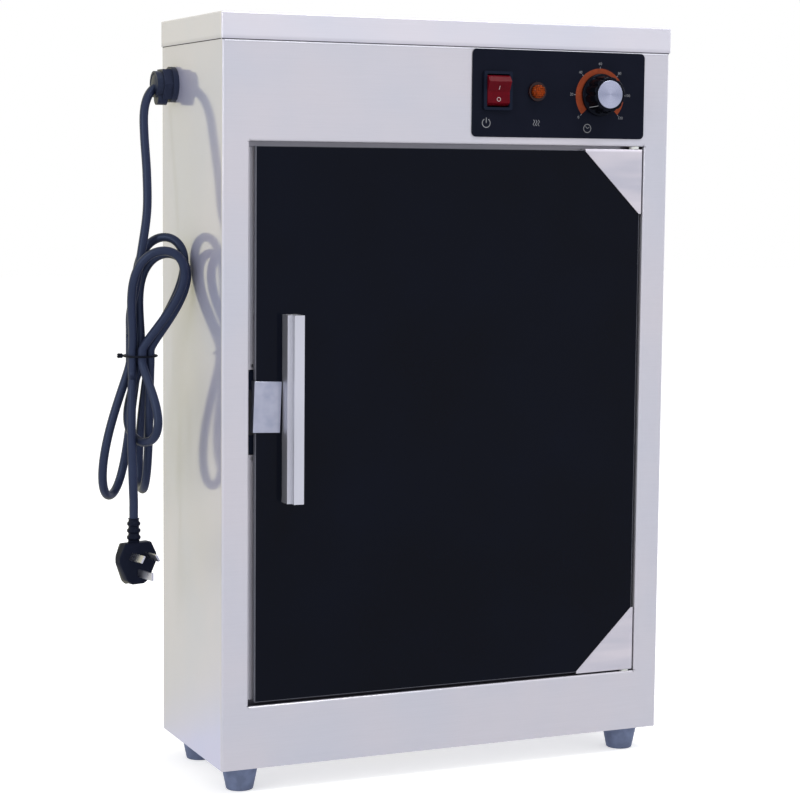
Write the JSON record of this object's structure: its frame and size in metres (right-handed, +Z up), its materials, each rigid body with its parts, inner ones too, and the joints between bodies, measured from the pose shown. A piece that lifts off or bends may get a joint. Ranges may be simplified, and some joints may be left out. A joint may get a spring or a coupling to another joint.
{
  "type": "ultraviolet knife sterilizer cabinet",
  "caption": "Tall brushed-steel knife sterilizer cabinet with a hinged dark glass door, rocker switch, pilot lamp, timer knob, rubber feet and a bundled mains cord.",
  "frame": {"origin": "middle of the footprint on the floor, under the cabinet without its cord, gland and plug", "axes": "+Z up, -Y is the front with the glass door, +X to the right seen from the front"},
  "size_m": [0.4707, 0.1732, 0.621],
  "materials": {
    "steel": "fine satin brushed stainless sheet",
    "inner_sheet": "plain mill-finish sheet",
    "reflector": "bright reflector sheet",
    "foot_rubber": "matte blue-grey",
    "washer_rubber": "matte black",
    "screw_zinc": "zinc plated",
    "panel_black": "satin black with printed scale",
    "black_plastic": "moulded",
    "knob_black": "polished",
    "rocker_red": "polished translucent red",
    "lamp_bezel": "dark amber moulding",
    "lamp_amber": "faceted amber lens",
    "cap_aluminium": "spun",
    "timer_white": "moulded",
    "shaft_brass": "turned",
    "smoked_glass": "dark tinted toughened glass",
    "shoe_steel": "brushed",
    "pin_steel": "turned",
    "nylon": "natural nylon",
    "handle_aluminium": "bright anodised",
    "magnet": "sintered",
    "plunger_orange": "moulded",
    "tube_glass": "clear quartz",
    "cap_metal": "spun",
    "white_plastic": "moulded",
    "ballast_steel": "varnished laminations",
    "heater_steel": "heat-tinted sheath",
    "rail_steel": "brushed",
    "gland_black": "moulded",
    "cord_black": "satin cable sheath",
    "tie_black": "coated wire",
    "plug_black": "moulded",
    "pin_brass": "nickel-tinted brass"
  },
  "bodies": {
    "cabinet": {"wrapper": "steel", "top_cover": "steel", "back_panel": "inner_sheet", "base_pan": "inner_sheet", "control_shelf": "inner_sheet", "heater_brackets": "inner_sheet", "lamp_batten": "reflector", "rubber_feet": "foot_rubber", "foot_screws": "screw_zinc", "back_screws": "screw_zinc", "cover_screws": "screw_zinc", "catch_screws": "screw_zinc", "rail_screws": "screw_zinc", "timer_nut": "screw_zinc", "control_plate": "panel_black", "switch_housing": "black_plastic", "catch_body": "black_plastic", "interlock_switch": "black_plastic", "thermostat": "black_plastic", "indicator_body": "lamp_bezel", "indicator_lens": "lamp_amber", "timer_body": "timer_white", "top_bush": "nylon", "bottom_bush": "nylon", "catch_magnet": "magnet", "rail_magnets": "magnet", "uv_tube": "tube_glass", "uv_tube_caps": "cap_metal", "lamp_holders": "white_plastic", "starter": "white_plastic", "terminal_block": "white_plastic", "ballast": "ballast_steel", "heater_rod": "heater_steel", "knife_rails": "rail_steel", "gland_body": "gland_black", "gland_locknut": "gland_black", "cord_drop": "cord_black", "cord_hank": "cord_black", "cord_tail": "cord_black", "inner_lead": "cord_black", "cord_tie": "tie_black", "plug_body": "plug_black", "plug_pins": "pin_brass"},
    "door": {"door_glass": "smoked_glass", "top_shoe": "shoe_steel", "bottom_shoe": "shoe_steel", "top_pivot_pin": "pin_steel", "bottom_pivot_pin": "pin_steel", "door_handle": "handle_aluminium", "handle_screws": "screw_zinc", "handle_washers": "washer_rubber", "catch_clip": "shoe_steel"},
    "rocker": {"switch_rocker": "rocker_red"},
    "timer": {"timer_shaft": "shaft_brass", "timer_knob": "knob_black", "knob_cap": "cap_aluminium"},
    "plunger": {"interlock_plunger": "plunger_orange"}
  },
  "joints": [
    {"name": "door_hinge", "type": "hinge", "parent": "cabinet", "child": "door", "pos_m": [0.169, -0.06277, 0.29675], "axis": [0, 0, 1], "range_deg": [0, 110]},
    {"name": "rocker_tilt", "type": "hinge", "parent": "cabinet", "child": "rocker", "pos_m": [0.0372, -0.06728, 0.5651], "axis": [-1, 0, 0], "range_deg": [0, 24]},
    {"name": "timer_turn", "type": "hinge", "parent": "cabinet", "child": "timer", "pos_m": [0.1323, -0.06728, 0.5637], "axis": [0, 1, 0], "range_deg": [0, 270], "stiffness_Nm_per_rad": 0.004},
    {"name": "plunger_slide", "type": "slide", "parent": "cabinet", "child": "plunger", "axis": [0, -1, 0], "range_m": [0, 0.003]}
  ],
  "couplings": [
    {"joint": "plunger_slide", "follows": "door_hinge", "m_per_rad": 0.00156}
  ]
}
